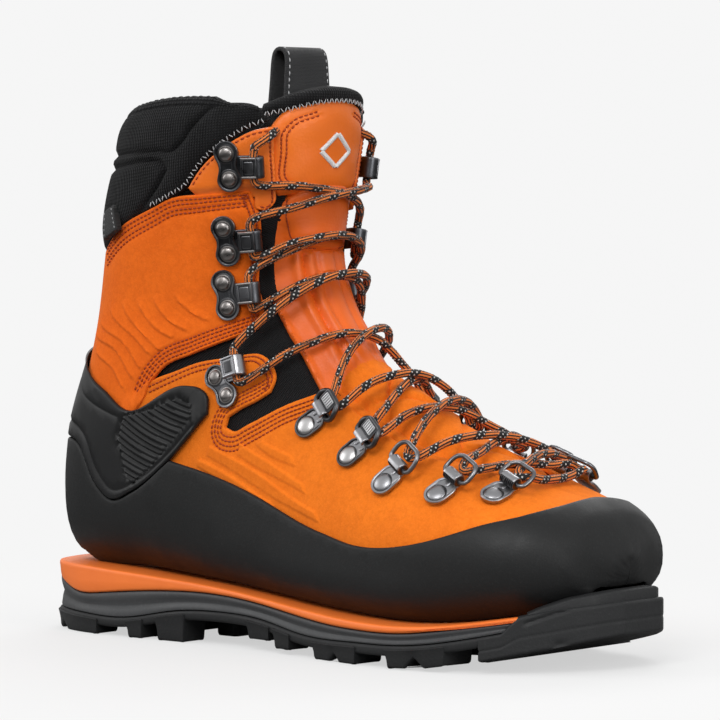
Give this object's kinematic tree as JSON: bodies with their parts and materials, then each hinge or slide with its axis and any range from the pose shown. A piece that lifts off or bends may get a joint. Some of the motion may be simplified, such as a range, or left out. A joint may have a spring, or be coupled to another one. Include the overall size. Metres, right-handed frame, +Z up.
{
  "type": "mountaineering boot",
  "caption": "Mountaineering boot for the right foot: rigid lugged sole, rubber rand, laced leather upper with lace hooks and D-rings, flexing cuff, padded collar and tongue with a pull loop.",
  "frame": {"origin": "On the ground plane under the flat treads, at the middle of the bounding box.", "axes": "+X towards the toe, +Y towards the inner (medial) side of the foot, +Z up. At rest the boot stands on its flat heel and forefoot treads."},
  "size_m": [0.291, 0.1108, 0.2485],
  "materials": {
    "suede": "napped suede, matt",
    "smooth_leather": "smooth coated leather, semi-gloss",
    "rand_rubber": "matt moulded rubber",
    "wing_tpu": "ribbed satin polymer",
    "outsole_rubber": "matt moulded rubber",
    "frame_tpu": "satin grey polymer",
    "wedge_foam": "smooth moulded foam, matt",
    "board": "fibre board",
    "shank_plate": "plain",
    "footbed_foam": "fabric over foam",
    "membrane": "laminated textile",
    "stretch_knit": "ribbed stretch knit",
    "collar_knit": "padded ribbed knit",
    "lining_textile": "brushed textile",
    "label_cloth": "woven tab",
    "pull_webbing": "woven webbing",
    "lace_cord": "braided cord",
    "hook_gunmetal": "dark satin metal",
    "clip_steel": "satin metal",
    "ring_steel": "polished dark wire",
    "link_dark": "dark satin metal"
  },
  "bodies": {
    "lower": {"outsole": "outsole_rubber", "midsole_frame": "frame_tpu", "midsole_wedge": "wedge_foam", "shank": "shank_plate", "lasting_board": "board", "footbed": "footbed_foam", "toe_rand": "rand_rubber", "heel_rand": "rand_rubber", "heel_wing": "wing_tpu", "vamp": "suede", "toe_puff": "board", "heel_counter": "board", "bootie_lower": "membrane", "instep_stretch_lateral": "stretch_knit", "instep_stretch_medial": "stretch_knit", "tongue_lower": "smooth_leather", "lace_lower": "lace_cord", "ankle_hook_lateral": "hook_gunmetal", "ankle_hook_medial": "hook_gunmetal", "link_clip_lateral_1": "clip_steel", "link_clip_lateral_2": "clip_steel", "ring_clip_lateral_1": "clip_steel", "ring_clip_lateral_2": "clip_steel", "ring_clip_lateral_3": "clip_steel", "link_clip_medial_1": "clip_steel", "link_clip_medial_2": "clip_steel", "ring_clip_medial_1": "clip_steel", "ring_clip_medial_2": "clip_steel", "ring_clip_medial_3": "clip_steel"},
    "cuff": {"quarter_lateral": "suede", "quarter_medial": "suede", "eyestay_lateral": "smooth_leather", "eyestay_medial": "smooth_leather", "collar": "collar_knit", "cuff_lining": "lining_textile", "ankle_stretch_lateral": "stretch_knit", "ankle_stretch_medial": "stretch_knit", "label_tab": "label_cloth", "lace_upper_a": "lace_cord", "lace_upper_b": "lace_cord", "lace_hook_lateral_1": "hook_gunmetal", "lace_hook_lateral_2": "hook_gunmetal", "lace_hook_lateral_3": "hook_gunmetal", "lace_hook_medial_1": "hook_gunmetal", "lace_hook_medial_2": "hook_gunmetal", "lace_hook_medial_3": "hook_gunmetal"},
    "tongue": {"tongue_cover": "smooth_leather", "tongue_lining": "lining_textile", "tongue_binding": "collar_knit"},
    "pull_loop": {"pull_loop": "pull_webbing"},
    "lace_link_lateral_1": {"lace_link_lateral_1": "link_dark"},
    "lace_link_lateral_2": {"lace_link_lateral_2": "link_dark"},
    "d_ring_lateral_1": {"d_ring_lateral_1": "ring_steel"},
    "d_ring_lateral_2": {"d_ring_lateral_2": "ring_steel"},
    "d_ring_lateral_3": {"d_ring_lateral_3": "ring_steel"},
    "lace_link_medial_1": {"lace_link_medial_1": "link_dark"},
    "lace_link_medial_2": {"lace_link_medial_2": "link_dark"},
    "d_ring_medial_1": {"d_ring_medial_1": "ring_steel"},
    "d_ring_medial_2": {"d_ring_medial_2": "ring_steel"},
    "d_ring_medial_3": {"d_ring_medial_3": "ring_steel"}
  },
  "joints": [
    {"name": "cuff_flex", "type": "hinge", "parent": "lower", "child": "cuff", "pos_m": [-0.0715, 0.00205, 0.1127], "axis": [0, 1, 0], "range_deg": [-1, 8]},
    {"name": "tongue_swing", "type": "hinge", "parent": "cuff", "child": "tongue", "pos_m": [-0.0305, 0.00205, 0.1477], "axis": [0, -1, 0], "range_deg": [0, 7]},
    {"name": "pull_loop_fold", "type": "hinge", "parent": "tongue", "child": "pull_loop", "pos_m": [-0.0245, 0.00005, 0.2187], "axis": [0, -1, 0], "range_deg": [-3, 70]},
    {"name": "link_turn_lateral_1", "type": "hinge", "parent": "lower", "child": "lace_link_lateral_1", "pos_m": [0.01519, -0.03301, 0.09924], "axis": [0.696, -0.2011, -0.6893], "range_deg": [0, 30]},
    {"name": "link_turn_lateral_2", "type": "hinge", "parent": "lower", "child": "lace_link_lateral_2", "pos_m": [0.0391, -0.03522, 0.08893], "axis": [0.7716, -0.2542, -0.5831], "range_deg": [0, 30]},
    {"name": "ring_turn_lateral_1", "type": "hinge", "parent": "lower", "child": "d_ring_lateral_1", "pos_m": [0.0594, -0.03772, 0.07926], "axis": [0.825, -0.2018, -0.5279], "range_deg": [0, 30]},
    {"name": "ring_turn_lateral_2", "type": "hinge", "parent": "lower", "child": "d_ring_lateral_2", "pos_m": [0.08285, -0.03165, 0.07531], "axis": [0.8754, -0.1403, -0.4626], "range_deg": [0, 30]},
    {"name": "ring_turn_lateral_3", "type": "hinge", "parent": "lower", "child": "d_ring_lateral_3", "pos_m": [0.10108, -0.01844, 0.07397], "axis": [0.9102, -0.0519, -0.4109], "range_deg": [0, 30]},
    {"name": "link_turn_medial_1", "type": "hinge", "parent": "lower", "child": "lace_link_medial_1", "pos_m": [0.01527, 0.03207, 0.0988], "axis": [-0.6862, -0.1423, 0.7133], "range_deg": [0, 30]},
    {"name": "link_turn_medial_2", "type": "hinge", "parent": "lower", "child": "lace_link_medial_2", "pos_m": [0.0388, 0.03472, 0.08867], "axis": [-0.7726, -0.2797, 0.57], "range_deg": [0, 30]},
    {"name": "ring_turn_medial_1", "type": "hinge", "parent": "lower", "child": "d_ring_medial_1", "pos_m": [0.05881, 0.03989, 0.07919], "axis": [-0.8317, -0.2913, 0.4727], "range_deg": [0, 30]},
    {"name": "ring_turn_medial_2", "type": "hinge", "parent": "lower", "child": "d_ring_medial_2", "pos_m": [0.08227, 0.03909, 0.0754], "axis": [-0.9014, -0.2251, 0.3698], "range_deg": [0, 30]},
    {"name": "ring_turn_medial_3", "type": "hinge", "parent": "lower", "child": "d_ring_medial_3", "pos_m": [0.1007, 0.03105, 0.07424], "axis": [-0.9442, -0.0855, 0.318], "range_deg": [0, 30]}
  ]
}
